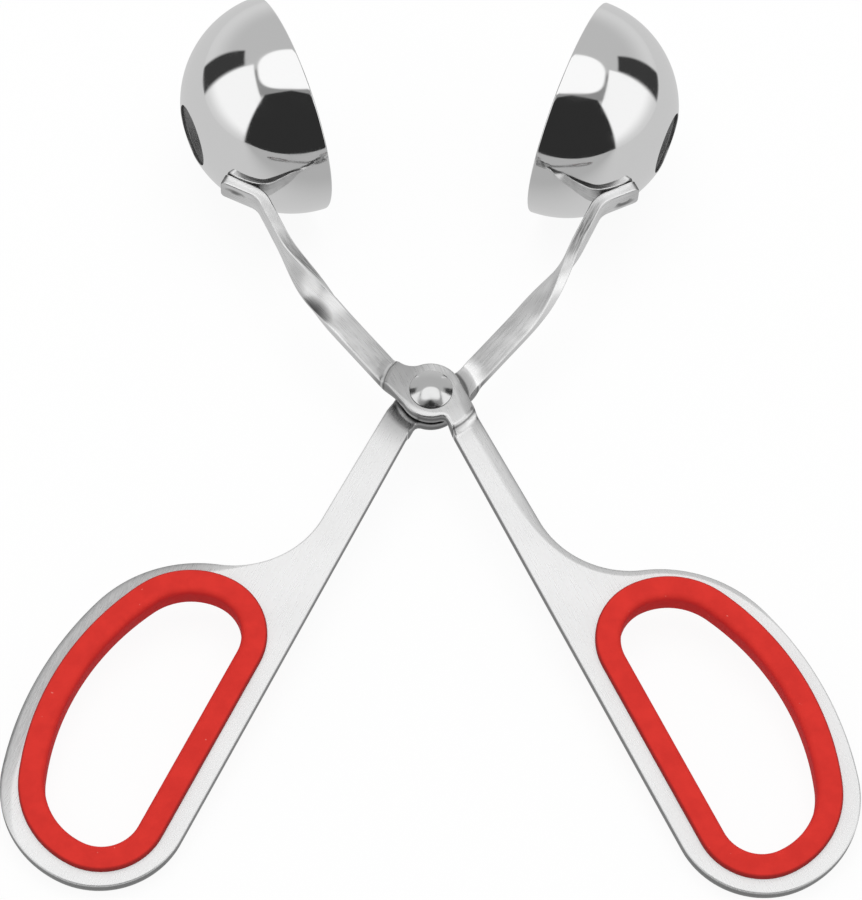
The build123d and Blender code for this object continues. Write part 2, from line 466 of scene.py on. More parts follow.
# %% [markdown]
# The grain differs over an arm. The handle is brushed evenly. The press left the strip duller
# and patchy. The belt's band at the back of the loop has fine slanting scratches. The sheared
# wall is dark round the handle, but bright up the strip, with one stretch left rough.

# %% Brush the arm
brush_line = (0.28, 4.5)
belt_line = (0.20, 3.0)
handle_turn = 3.5
belt_turn = -6.0
cloud_pattern = (90.0, 2.0, 0.5)
patch_pattern = (150.0, 1.0, 0.5)
lines_in_satin = 0.6
lines_in_dull = 0.5
wall_streaks = 0.8
wall_at_hub = 0.4
# A tone is its contrast, its dark grey and its light grey.
satin_tone = ((0.35, 0.65), 0.78, 0.83)
dull_tone = ((0.36, 0.64), 0.66, 0.88)
belt_tone = ((0.40, 0.60), 0.52, 0.62)
rough_tone = ((0.40, 0.60), 0.30, 0.66)
wall_tone = ((0.9, 1.6), 0.24, 0.50)
bright_steel = grey(0.97)
# The strip's edge has a rough stretch: its middle on each side, and half its length.
rough_at_right = 38.5
rough_at_left = 49.5
rough_half_length = 9.5

handle_lines = stretched(sheet, blank, handle_turn, *brush_line)
strip_lines = stretched(sheet, blank, strip_turn, *brush_line)
lines = blend(strip, handle_lines, strip_lines)
scratches = stretched(sheet, blank, belt_turn, *belt_line)
clouds = noise(sheet, blank, *cloud_pattern)
patches = noise(sheet, blank, *patch_pattern)
satin = two_greys(sheet, blend(lines_in_satin, clouds, lines), *satin_tone)
dull = two_greys(sheet, blend(lines_in_dull, patches, lines), *dull_tone)
ground_band = two_greys(sheet, scratches, *belt_tone)
streaky = two_greys(sheet, strip_lines, *rough_tone)
wall = two_greys(sheet, abs(level) + lines * wall_streaks + hub * wall_at_hub, *wall_tone)

rough_middle = sheet.step(aside, -1.0, 1.0, rough_at_left, rough_at_right)
rough_far = (reach - rough_middle) / rough_half_length
rough = (1 - rough_far * rough_far).at_least(0.0)
wall = sheet.mix(strip, wall, sheet.mix(rough, bright_steel, streaky))
print("arm brushed with", len(arm_look.node_tree.nodes), "nodes")

# %% [markdown]
# The photograph shows marks on this steel. Where the strip was twisted, a dark patch and a
# bright spot are painted shade and a painted highlight. There is a dull weld mark, and painted
# shade on the tab's end face. Round the hub, a dark fold line and a gleam on the pressed step
# are painted shade and a painted highlight, and the ear beside it is painted darker, as shade.
# The marks sit on the blank, so both arms have them, and every view shows them alike.

# %% Marks on the arm
# An oval is its middle and its half sizes, both along and aside, and its grey.
# The twist's dark patch and bright spot are painted shade and a painted highlight.
twist_shade = ((29.2, -2.6), (4.6, 3.0), 0.14)
weld = ((62.7, 0.9), (2.6, 0.9), 0.20)
twist_highlight = ((22.8, -2.4), (3.6, 0.9), 0.97)
ear_way = (0.71, 0.70)
ear_from = (0.5, 6.0)
ear_edge = (9.2, 9.6)
tip_edge = (64.9, 65.7)


def oval(middle, half_size, tone):
    """Give a mark on the outer face that fades to its edge, and its grey."""
    far = (reach - middle[0]) / half_size[0]
    wide = (aside - middle[1]) / half_size[1]
    return (1 - far * far - wide * wide).at_least(0.0) * outer, grey(tone)


def ring_mark(radius, half_width):
    """Give 1 on a circle round the rivet, falling to 0 beside it, on the upper side."""
    return (1 - abs(away - radius) / half_width).at_least(0.0) * (1 - under)


# The ear beside the step is painted darker, as shade.
ear_shade = sheet.step(along * ear_way[0] - across * ear_way[1], *ear_from)
ear_shade = ear_shade * (1 - sheet.step(away, *ear_edge))
# The tab's end face is painted dark, as shade.
tab_end_shade = sheet.step(reach, *tip_edge) * (1 - outer)
# A share times its rest is a quarter at most, so the painted edge highlight takes it four times.
edge_highlight = sheared * (1 - sheared) * strip * 4
print("marks ready with", len(arm_look.node_tree.nodes), "nodes")

# %% [markdown]
# Where the arms cross, the front arm's disc stands over the back arm. The photograph has a
# dark line along the disc there, then shade on the side of the handle, and bright steel on
# the side of the cup. All three are painted on the inner face, round the rivet: a painted
# shadow line, painted shade and painted light.

# %% Paint shade and light where the arms cross
line_by_handle = (6.1, 7.1)
line_by_cup = (7.6, 8.0)
shade_start = (7.2, 9.6)
shade_end = (7.0, 17.0)
lit_edge = (8.8, 13.0)

# Painted shadow along the disc, painted shade towards the handle, painted light towards the cup.
line_start = blend(cup_side, line_by_handle[0], line_by_cup[0])
line_end = blend(cup_side, line_by_handle[1], line_by_cup[1])
crossing_shadow = (1 - sheet.step(away, line_start, line_end)) * under
shaded = sheet.step(away, *shade_start) * (1 - sheet.step(away, *shade_end))
shaded = shaded * handle_side * under
lit = (1 - sheet.step(away, *lit_edge)) * cup_side * under
print("shade ready with", len(arm_look.node_tree.nodes), "nodes")

# %% [markdown]
# The brushed tones come first and the marks go over them, each as a share of its own grey.
# The order matters only where two of them meet.

# %% Lay the marks over the steel
# Along the pressed step, a ring of painted shade and a ring of painted highlight (the gleam).
crease_shade_ring = (9.6, 0.26)
gleam_ring = (10.15, 0.40)
crease_shade_share = 0.90
ear_shade_share = 0.60
crossing_shadow_share = 0.80
shaded_share = 0.46
tab_end_shade_share = 0.85

colour = satin
for mask, tone in (
    (pressed, dull),
    (belted, ground_band),
    (sheared, wall),
    oval(*twist_shade),
    oval(*weld),
    oval(*twist_highlight),
    (edge_highlight, grey(1.0)),
    (ring_mark(*gleam_ring).at_least(lit), bright_steel),
    (ring_mark(*crease_shade_ring) * crease_shade_share, grey(0.14)),
    (ear_shade * ear_shade_share, grey(0.46)),
    (crossing_shadow * crossing_shadow_share + shaded * shaded_share, grey(0.06)),
    (tab_end_shade * tab_end_shade_share, grey(0.08)),
):
    colour = sheet.mix(mask, colour, tone)
print("arm marked with", len(arm_look.node_tree.nodes), "nodes")

# %% [markdown]
# Gloss follows the brush lines. The bump has the lines, the belt's scratches and the slight
# dents of the press, and it leans the handle a little, as if bowed, because the photograph
# shades it so. The handle is less metallic, so that it isn't black from behind, and so is
# the bright steel beside the hub, where a mirror would show the dark gap.

# %% Finish the arm's steel
gloss_from_lines = (0.30, 0.70, 0.26, 0.34)
handle_from = -5.0
lean_ease = 8.0
lean = -0.09
handle_grain = 0.0015
strip_grain = 0.0025
belt_grain = 0.005
dent_depth = 0.35
metal_by_place = (-14.0, -7.0, 0.60, 1.0)
lit_unmetal = 0.85

behind = (handle_from - along).at_least(0.0)
tilt = behind * behind / (behind + lean_ease) * lean
grain = lines * (handle_grain + strip * strip_grain) + belted * scratches * belt_grain
relief = tilt + grain + pressed * clouds * dent_depth
roughness = sheet.step(lines, *gloss_from_lines)
metallic = sheet.step(along, *metal_by_place) - lit * lit_unmetal
finish_metal(sheet, colour, roughness, relief, mm, metallic)
print("arm steel ready with", len(arm_look.node_tree.nodes), "nodes")

# %% [markdown]
# The cups, the rivet and the washer are polished or turned steel: a clean grey, faint hazy
# patches in the gloss, and the slight waves of a pressed sheet or the grain of a turned head.
# A cup is duller inside, and painted darker there as shade, most of all round the hole. The
# foot of the rivet's head is darker. The mesh stores where that is, and the finish reads it.

# %% Polished steel
# A surface is the scale and contrast of its haze, and the noise of its waves or grain.
pressed_sheet = ((260.0, 0.40, 0.75), (45.0, 1.0, 0.4))
turned_bar = ((900.0, 0.35, 0.75), (900.0, 3.0, 0.6))
# A mark is the name of its attribute, its grey, and the roughness that it adds.
# Inside a cup the steel is duller and painted darker, as shade that is deepest round the hole.
dull_shaded_inside = ("inside", 0.34, 0.22)
dark_foot = ("foot", 0.20, 0.25)


def polished_steel(name, tone, gloss, surface, height, mark=None):
    """Polished steel, hazy in patches, with a mark where the mesh stores one."""
    material, sheet = new_material(name)
    place = sheet.node("TexCoord")["Object"]
    (scale, *contrast), relief = surface
    roughness = sheet.step(noise(sheet, place, scale), *contrast, *gloss)
    colour = grey(tone)
    if mark:
        attribute, marked_tone, added_roughness = mark
        share = stored(sheet, attribute, "Fac")
        colour = sheet.mix(share, colour, grey(marked_tone))
        roughness = roughness + share * added_roughness
    finish_metal(sheet, colour, roughness, noise(sheet, place, *relief), height * mm)
    return material


cup_look = polished_steel(
    "cup_steel", tone=0.86, gloss=(0.05, 0.10), surface=pressed_sheet, height=0.06, mark=dull_shaded_inside
)
rivet_look = polished_steel(
    "rivet_steel", tone=0.74, gloss=(0.10, 0.20), surface=turned_bar, height=0.004, mark=dark_foot
)
washer_look = polished_steel(
    "washer_steel", tone=0.45, gloss=(0.30, 0.45), surface=pressed_sheet, height=0.01
)
print("polished steel ready for the cups, the rivet and the washer")

# %% [markdown]
# The grips are soft red rubber: matt, a touch uneven in colour, with a very fine grain and
# a few pale specks of dust. The ring's mesh will store the place of each point in its own
# section, out from the hole and up from its middle. From that, the wall inside the hole is
# painted a deeper red, as shade, and a painted shadow line runs where the rubber meets the steel.

# %% Rubber finish
grip_top = 2.7
wall_depth = (0.1, 1.0)
wall_out = (1.5, 2.5)
contact_shadow_out = (4.45, 4.95)
wall_shade_share = 0.5
contact_shadow_share = 0.6
dust_share = 0.5
low_red = (0.62, 0.026, 0.019, 1)
high_red = (0.70, 0.034, 0.025, 1)
dust_pink = (0.85, 0.30, 0.25, 1)
shaded_wall_red = (0.50, 0.0, 0.008, 1)
contact_shadow_red = (0.16, 0.008, 0.010, 1)
mottle_scale = 220.0
grain_pattern = (5200.0, 2.0, 0.5)
dust_pattern = (900.0, 1.0, 0.5)
mottle_contrast = (0.3, 0.7)
dust_contrast = (0.77, 0.80)
rubber_gloss = (0.60, 0.72)
rubber_specular = 0.20
grain_depth = 0.02 * mm
grain_strength = 0.6

rubber_look, sheet = new_material("red_rubber")
place = sheet.node("TexCoord")["Object"]
split = sheet.node("SeparateXYZ", None, [stored(sheet, "section", "Vector")])
out = split["X"]
depth = grip_top - abs(split["Y"])
# Painted shade: the wall inside the hole goes a deeper red.
deep = sheet.step(depth, *wall_depth) * (1 - sheet.step(out, *wall_out))
mottle = noise(sheet, place, mottle_scale)
fine = noise(sheet, place, *grain_pattern)
dust = sheet.step(noise(sheet, place, *dust_pattern), *dust_contrast)
colour = sheet.mix(sheet.step(mottle, *mottle_contrast), low_red, high_red)
colour = sheet.mix(dust * dust_share, colour, dust_pink)
colour = sheet.mix(deep * wall_shade_share, colour, shaded_wall_red)
# Painted shadow: a thin dark line where the rubber meets the steel.
colour = sheet.mix(sheet.step(out, *contact_shadow_out) * contact_shadow_share, colour, contact_shadow_red)
inputs = {"Height": fine, "Distance": grain_depth, "Strength": grain_strength}
relief = sheet.node("Bump", None, inputs)
roughness = sheet.step(mottle, *mottle_contrast, *rubber_gloss)
inputs = {"Base Color": colour, "Roughness": roughness, "Normal": relief}
inputs["Specular IOR Level"] = rubber_specular
sheet.node("OutputMaterial", None, [sheet.node("BsdfPrincipled", None, inputs)])
print("rubber ready with", len(rubber_look.node_tree.nodes), "nodes")

# %% [markdown]
# A cup, the rivet and the washer are turned shapes: one profile spun about an axis. The
# profile is a short list of corners, each with a small round. Points of a profile are a
# distance along the axis and a radius.

# %% Round the corners of a profile
corner_pieces = 4


def rounded(corners, pieces=corner_pieces):
    """Round each corner of a closed profile, given as (along, radius, round)."""
    points = []
    for index, (along, radius, round_size) in enumerate(corners):
        here = Vector((along, radius))
        if round_size == 0:
            points.append(here)
            continue
        before = (Vector(corners[index - 1][:2]) - here).normalized()
        after = (Vector(corners[(index + 1) % len(corners)][:2]) - here).normalized()
        half = before.angle(after) / 2
        middle = here + (before + after).normalized() * (round_size / math.sin(half))
        start = here + before * (round_size / math.tan(half))
        stop = here + after * (round_size / math.tan(half))
        for step in range(pieces + 1):
            chord = start.lerp(stop, step / pieces) - middle
            points.append(middle + chord.normalized() * round_size)
    return points


def round_end(first, corner, second, size):
    """Round one corner between two points of a profile."""
    ends = [(first.x, first.y, 0), (corner.x, corner.y, size), (second.x, second.y, 0)]
    return rounded(ends)[1:-1]


print("a corner is rounded in", corner_pieces, "pieces")

# %% [markdown]
# The spin makes one ring of points for each point of the profile and joins each ring to the
# next. A point on the axis is a ring of one. Doubles are merged before the faces are turned
# outwards, because an open seam would leave some of them inside out.

# %% Spin a profile
same_spot = 0.0005 * mm


def bridge(shape, ring, following):
    """Join two rings with quads, or with triangles where one of them is a single point."""
    for index in range(max(len(ring), len(following))):
        corners = [
            ring[index % len(ring)],
            ring[(index + 1) % len(ring)],
            following[(index + 1) % len(following)],
            following[index % len(following)],
        ]
        corners = list(dict.fromkeys(corners))
        if len(corners) > 2:
            shape.faces.new(corners)


def finish_mesh(name, shape):
    """Merge doubles, turn the faces outwards, and make a smooth object."""
    bmesh.ops.remove_doubles(shape, verts=shape.verts, dist=same_spot)
    bmesh.ops.recalc_face_normals(shape, faces=shape.faces)
    for face in shape.faces:
        face.smooth = True
    mesh = bpy.data.meshes.new(name)
    shape.to_mesh(mesh)
    shape.free()
    return link(bpy.data.objects.new(name, mesh))


def spin(name, profile, place, turns):
    """Spin a profile in millimetres about the place's X axis into a mesh in metres."""
    shape = bmesh.new()
    rings = []
    for along, radius in profile:
        ring = []
        for step in range(turns if radius > 0 else 1):
            angle = math.tau * step / turns
            spot = Vector((along, radius * math.cos(angle), radius * math.sin(angle)))
            ring.append(shape.verts.new(place @ (spot * mm)))
        rings.append(ring)
    for ring, following in zip(rings, rings[1:] + rings[:1]):
        bridge(shape, ring, following)
    return finish_mesh(name, shape)


print("doubles within", same_spot / mm, "mm are merged")

# %% [markdown]
# A finished mesh may need a number stored at each point for its finish to read.

# %% Mark and dress a piece
def store_mark(piece, name, place, mark_at):
    """Store a number at each vertex, worked out from its place in a frame of its own."""
    to_frame = place.inverted()
    marks = piece.data.attributes.new(name, "FLOAT", "POINT")
    for mark, vertex in zip(marks.data, piece.data.vertices):
        mark.value = mark_at(to_frame @ vertex.co / mm)


def dress(piece, look, body, node):
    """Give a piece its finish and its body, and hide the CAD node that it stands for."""
    piece.data.materials.clear()
    piece.data.materials.append(look)
    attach(piece, body)
    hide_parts(node)
    print(piece.name, "has", len(piece.data.polygons), "faces")


# %% [markdown]
# Each cup is a thin pressed half ball with a drain hole punched at its pole. Its profile
# runs out along the ball, over the rim, and back inside. The edge of the hole is
# rounded only a little, so that it draws a crisp line.

# %% Cups
cup_radius = 23.0
cup_wall = 0.8
cup_reach = 74.9
rim_clearance = 0.3
drain_radius = 6.5
rim_round = 0.25
hole_round = 0.12
ball_pieces = 48
cup_turns = 192
inside_margin = 0.1
dull_shade_from = 6.0
dull_shade_run = 12.0
least_dull_shade = 0.35


def ball_arc(radius, start, stop):
    """Give points on a ball, from one angle off the axis to another."""
    points = []
    for step in range(ball_pieces + 1):
        angle = start + (stop - start) * step / ball_pieces
        points.append(Vector((-radius * math.cos(angle), radius * math.sin(angle))))
    return points


def cup_profile():
    """Draw the wall of a cup: outside, rim, inside and the edge of the hole."""
    inner = cup_radius - cup_wall
    rim = rim_clearance / 2
    outer_hole = math.asin(drain_radius / cup_radius)
    inner_hole = math.asin(drain_radius / inner)
    outside = ball_arc(cup_radius, outer_hole, math.acos(rim / cup_radius))
    inside = ball_arc(inner, math.acos(rim / inner), inner_hole)
    profile = outside[1:-1]
    profile += round_end(outside[-2], outside[-1], inside[0], rim_round)
    profile += round_end(outside[-1], inside[0], inside[1], rim_round)
    profile += inside[1:-1]
    profile += round_end(inside[-2], inside[-1], outside[0], hole_round)
    profile += round_end(inside[-1], outside[0], outside[1], hole_round)
    return profile


def dull_and_shaded(spot):
    """Give 0 outside a cup, and inside it a third near the rim and 1 round the hole."""
    depth = min(1.0, max(0.0, (-spot.x - dull_shade_from) / dull_shade_run))
    within = float(spot.length < cup_radius - inside_margin)
    return within * (least_dull_shade + (1 - least_dull_shade) * depth)


for side, seat, body in (
    ("left", front_seat, "front_half"),
    ("right", back_seat, "back_half"),
):
    ball = seat @ Matrix.Translation((0, cup_reach * mm, 0))
    cup = spin(side + "_polished_cup", cup_profile(), ball, cup_turns)
    store_mark(cup, "inside", ball, dull_and_shaded)
    dress(cup, cup_look, body, side + "_cup")

# %% [markdown]
# The rivet has a low domed head in front and a peened tail behind. Its dome is a hyperbola,
# round at the crown and straighter towards its rim, as the reflections in the photograph
# show. The foot of the head is marked, and its finish is darker there.

# %% Rivet
sheet_thickness = 2.5
washer_thickness = 0.75
axial_play = 0.05
rivet_radius = 2.5
head_radius = 4.3
head_height = 1.7
head_rim = 0.2
crown_core = 3.2
crown_pieces = 20
rivet_turns = 128
head_rim_round = 0.12
head_foot_round = 0.03
foot_mark_margin = 0.02
tail_radius = 3.9
tail_height = 1.1
tail_rim = 0.4
disc_bottom = (washer_thickness + axial_play) / 2
disc_top = disc_bottom + sheet_thickness


def dome(radius, height, rim, seat_at, sign):
    """Draw a head, round at its crown and straighter down to its rim, then in to the shank."""
    steepness = (height - rim) / (math.hypot(radius, crown_core) - crown_core)
    points = []
    for step in range(crown_pieces):
        out = radius * step / crown_pieces
        drop = steepness * (math.hypot(out, crown_core) - crown_core)
        points.append(Vector((seat_at + sign * (height - drop), out)))
    edge = Vector((seat_at + sign * rim, radius))
    foot = Vector((seat_at, radius))
    neck = Vector((seat_at, rivet_radius))
    points += round_end(points[-1], edge, foot, head_rim_round)
    points += round_end(edge, foot, neck, head_foot_round)
    points.append(neck)
    return points


def at_head_foot(spot):
    """Give 1 at the foot of the head, and 0 elsewhere."""
    at_rim = math.hypot(spot.y, spot.z) > head_radius - head_rim_round
    return float(at_rim and abs(spot.x) < disc_top + head_rim + foot_mark_margin)


spin_axis = tool @ Matrix.Rotation(-math.pi / 2, 4, "Y")
head = dome(head_radius, head_height, head_rim, disc_top, 1)
tail = dome(tail_radius, tail_height, tail_rim, -disc_top - axial_play, -1)
rivet = spin("polished_rivet", head + tail[::-1], spin_axis, rivet_turns)
store_mark(rivet, "foot", spin_axis, at_head_foot)
dress(rivet, rivet_look, "front_half", "pivot_rivet")

# %% [markdown]
# The washer is the thin dark ring in the gap between the two discs.

# %% Washer
washer_radius = 5.2
washer_bore = 2.55
washer_rim_round = 0.15
washer_bore_round = 0.1
washer_turns = 96
washer_low = disc_bottom - washer_thickness

washer_corners = [
    (washer_low, washer_bore, washer_bore_round),
    (washer_low, washer_radius, washer_rim_round),
    (disc_bottom, washer_radius, washer_rim_round),
    (disc_bottom, washer_bore, washer_bore_round),
]
washer = spin("thin_washer", rounded(washer_corners, 3), spin_axis, washer_turns)
dress(washer, washer_look, "front_half", "pivot_washer")

# %% [markdown]
# An arm starts as a flat blank, cut from sheet. Its outline is a chain of lines and arcs in
# the arm's own plane, with the rivet at the origin. Each helper leaves out its last point,
# because the next stretch begins there.

# %% Draw arcs and straight runs as points
outline_spacing = 0.6


def arc(centre, radius, start, sweep):
    """Give points along an arc, by its first angle and its sweep in degrees."""
    pieces = max(2, math.ceil(abs(math.radians(sweep)) * radius / outline_spacing))
    points = []
    for step in range(pieces):
        angle = math.radians(start + sweep * step / pieces)
        points.append(centre + Vector((math.cos(angle), math.sin(angle))) * radius)
    return points


def run(start, stop):
    """Give points along a straight line."""
    pieces = max(1, math.ceil((stop - start).length / outline_spacing))
    return [start.lerp(stop, step / pieces) for step in range(pieces)]


def heading(start, end):
    """Give the angle of the line from one point to another, in degrees."""
    return math.degrees(math.atan2(end.y - start.y, end.x - start.x))


def pointing(angle):
    """Give the unit vector at an angle in radians."""
    return Vector((math.cos(angle), math.sin(angle)))


def arc_between(centre, start, stop, clockwise=False):
    """Give points along the arc from one point to another."""
    first = heading(centre, start)
    sweep = (heading(centre, stop) - first) % 360
    if clockwise:
        sweep -= 360
    return arc(centre, (start - centre).length, first, sweep)


def belly_centre(upper, upper_radius, lower, lower_radius, radius):
    """Find the centre of the long arc that runs into an upper and a lower round."""
    span = lower - upper
    to_upper = radius - upper_radius
    to_lower = radius - lower_radius
    down = (to_upper**2 - to_lower**2 + span.length**2) / (2 * span.length)
    aside = math.sqrt(to_upper**2 - down**2)
    level = span.normalized()
    return upper + level * down + Vector((level.y, -level.x)) * aside


print("arcs and runs every", outline_spacing, "mm")

# %% [markdown]
# The finger hole has a straight side and five rounds. It is drawn on a plane of its own,
# turned a little, whose Y axis is the straight inner edge of the handle. The same outline,
# grown, gives the window in the steel, and as it stands it is the path of the soft ring.

# %% Finger hole
edge_offset = 0.15
edge_angle = math.radians(3.46)
finger_inset = 8.3
finger_start = 59.8
finger_length = 56.2
round_top_in = 8.2
round_top_out = 11.8
belly_radius = 50.5
round_foot_in = 7.6
round_foot_out = 13.7
finger_end = finger_start + finger_length
top_in = Vector((finger_inset + round_top_in, -finger_start - round_top_in))
top_out = Vector((finger_inset + round_top_in, -finger_start - round_top_out))
foot_in = Vector((finger_inset + round_foot_in, -finger_end + round_foot_in))
foot_out = Vector((finger_inset + round_foot_in, -finger_end + round_foot_out))
turn_handle = Matrix.Rotation(edge_angle, 2)


def on_arm(point):
    """Take a point from the handle's plane to the arm's plane."""
    return turn_handle @ point + Vector((edge_offset, 0))


def finger_outline(grow):
    """Draw the finger hole on the handle's plane, grown on all sides, anticlockwise."""
    belly = belly_centre(top_out, round_top_out, foot_out, round_foot_out, belly_radius)
    low = heading(belly, foot_out)
    high = heading(belly, top_out)
    points = arc(foot_in, round_foot_in + grow, 180, 90)
    points += arc(foot_out, round_foot_out + grow, 270, 90 + low)
    points += arc(belly, belly_radius + grow, low, high - low)
    points += arc(top_out, round_top_out + grow, high, 90 - high)
    points += arc(top_in, round_top_in + grow, 90, 90)
    edge = finger_inset - grow
    points += run(Vector((edge, top_in.y)), Vector((edge, foot_in.y)))
    return points


print("finger hole of", len(finger_outline(0)), "points")

# %% [markdown]
# The upper arm leaves the disc as a straight strip. It lies flat at first, then bows and
# twists a quarter turn on the way, stands upright, and ends in a tab that is bent to lie
# on the cup. The bends follow from where the cup is and how the tab has to lie on it.

# %% Bends of the upper arm
hub_radius = 6.15
hub_inset = 0.1
strip_width = 5.3
strip_flat = cup_reach * 0.3004
bow_radius = cup_reach * 1.3218
bow_angle = math.radians(14.5)
tab_angle = math.radians(42.0)
tab_bend = 5.0
tab_length = 3.69
weld_sink = 0.15
half_sheet = sheet_thickness / 2
quarter = math.pi / 2
strip_way = Vector((-math.sin(strip_angle), math.cos(strip_angle)))
strip_across = Vector((math.cos(strip_angle), math.sin(strip_angle)))
strip_root = strip_across * (strip_width / 2 + hub_inset - hub_radius)
ball_centre = Vector((0, cup_reach))
first_heading = quarter + strip_angle
upright_heading = first_heading - bow_angle
tab_heading = quarter + tab_angle
bow_length = bow_radius * bow_angle

bow_start = strip_root + strip_way * strip_flat
bow_centre = bow_start + pointing(first_heading - quarter) * bow_radius
bow_end = bow_centre + pointing(upright_heading + quarter) * bow_radius
towards_ball = pointing(tab_angle)
seat_distance = cup_radius - weld_sink + half_sheet
upright_way = pointing(upright_heading)
rise_left = (ball_centre - bow_end).dot(towards_ball) - seat_distance
tab_root = bow_end + upright_way * (rise_left / upright_way.dot(towards_ball))
weld_spot = ball_centre - towards_ball * seat_distance
tab_end = weld_spot + pointing(tab_heading) * tab_length
bend_angle = tab_heading - upright_heading
upright_length = (tab_root - bow_end).length - tab_bend * math.tan(bend_angle / 2)
bend_length = tab_bend * bend_angle
bend_start = bow_end + upright_way * upright_length
bend_centre = bend_start + pointing(upright_heading + quarter) * tab_bend
bend_end = bend_centre + pointing(tab_heading - quarter) * tab_bend
strip_length = strip_flat + bow_length + upright_length + bend_length
strip_length += (tab_end - bend_end).length
print("strip is", round(strip_length, 1), "mm long when flat")

# %% [markdown]
# The strip's middle line runs through the bow, the upright part, the bend and the tab. It
# gives a point, a heading and a twist for any distance along the strip.

# %% Middle line of the upper arm
def middle_line(distance):
    """Give the point, the heading and the twist of the strip at a distance along it."""
    left = distance - strip_flat
    if left <= bow_length:
        share = left / bow_length
        angle = first_heading - bow_angle * share
        twist = quarter * share * share * (3 - 2 * share)
        return bow_centre + pointing(angle + quarter) * bow_radius, angle, twist
    left -= bow_length
    if left <= upright_length:
        return bow_end + upright_way * left, upright_heading, quarter
    left -= upright_length
    if left <= bend_length:
        angle = upright_heading + left / tab_bend
        return bend_centre + pointing(angle - quarter) * tab_bend, angle, quarter
    left -= bend_length
    return bend_end + pointing(tab_heading) * left, tab_heading, quarter


print("strip ends at", [round(value, 1) for value in middle_line(strip_length)[0]], "mm")

# %% [markdown]
# The outside of the finger loop follows the hole at a distance that changes, so it has
# rounds of its own: the sole below, the belly at the back, the crown on top, and the hollow
# neck that runs up into the shank. Each stretch has a name, because the edge will be finished
# by stretch.

# %% Outside of the finger loop
shank_width = 6.7
neck_radius = 19.4
crown_margin = 14.6
crown_back = 4.5
crown_down = 6.1
belly_margin = 16.7
foot_margin = 8.1
foot_margin_in = 9.2
foot_margin_out = 7.3
sole_share = 0.6


def handle_arc(centre, radius, start, sweep):
    """Give points along an arc that is drawn on the handle's plane."""
    return [on_arm(point) for point in arc(centre, radius, start, sweep)]


def loop_stretches():
    """Draw the loop's outside, and give where the inner edge and the neck end on it."""
    crown = top_out - Vector((crown_back, crown_down))
    crown_radius = round_top_out + crown_margin
    in_radius = round_foot_in + foot_margin_in
    out_radius = round_foot_out + foot_margin_out
    bottom = -finger_end - foot_margin
    sole_in = Vector((in_radius, bottom + in_radius))
    sole_out = Vector((in_radius, bottom + out_radius))
    belly_steel = belly_radius + belly_margin
    belly = belly_centre(crown, crown_radius, sole_out, out_radius, belly_steel)
    low = heading(belly, sole_out)
    high = heading(belly, crown)
    sole_turn = (90 + low) * sole_share
    sole_rest = (90 + low) * (1 - sole_share)
    hollow_x = shank_width + neck_radius
    rise = math.sqrt((crown_radius + neck_radius) ** 2 - (hollow_x - crown.x) ** 2)
    hollow = Vector((hollow_x, crown.y + rise))
    turn = heading(crown, hollow)
    stretches = [
        ("plain", handle_arc(sole_in, in_radius, 180, 90)),
        ("plain", handle_arc(sole_out, out_radius, 270, sole_turn)),
        ("sole", handle_arc(sole_out, out_radius, 270 + sole_turn, sole_rest)),
        ("belly", handle_arc(belly, belly_steel, low, high - low)),
        ("crown", handle_arc(crown, crown_radius, high, turn - high)),
        ("neck", handle_arc(hollow, neck_radius, 180 + turn, -turn)),
    ]
    return stretches, on_arm(Vector((0, sole_in.y))), on_arm(Vector((shank_width, hollow.y)))


print("loop's outside of", len(loop_stretches()[0]), "stretches")

# %% [markdown]
# The strip's outline is straight, with two rounded corners on its tab. Small fillets fill
# the corners where the edges of the strip and of the shank meet the disc.

# %% Strip, tab and corners at the disc
shank_fillet = 1.2
strip_fillet = 4.0
tab_corner = 0.9


def strip_point(distance, share):
    """Give a point of the flat strip by its distance along and its share of the width."""
    return strip_root + strip_way * distance + strip_across * (strip_width * share)


def corner_at_hub(point, way, outwards, radius):
    """Round the inner corner between the disc and an edge: centre, touch on disc and on edge."""
    start = point + outwards * radius
    far = hub_radius + radius
    lead = start.dot(way)
    centre = start + way * (math.sqrt(lead * lead - start.length_squared + far * far) - lead)
    return centre, centre * (hub_radius / far), centre - outwards * radius


def strip_stretches(top_corner, back_corner):
    """Draw the strip from its corner at the disc round the tab and back to the disc."""
    shoulder = strip_length - tab_corner
    inset = 0.5 - tab_corner / strip_width
    turn = math.degrees(strip_angle)
    return [
        ("plain", run(top_corner, strip_point(shoulder, 0.5))),
        ("plain", arc(strip_point(shoulder, inset), tab_corner, turn, 90)),
        ("plain", run(strip_point(strip_length, inset), strip_point(strip_length, -inset))),
        ("plain", arc(strip_point(shoulder, -inset), tab_corner, turn + 90, 90)),
        ("plain", run(strip_point(shoulder, -0.5), back_corner)),
    ]


print("strip", strip_width, "mm wide")

# %% [markdown]
# Now the whole outline of the blank: down the straight inner edge, round the finger loop,
# up the shank to the disc, out along the strip, over the tab and back round the disc.

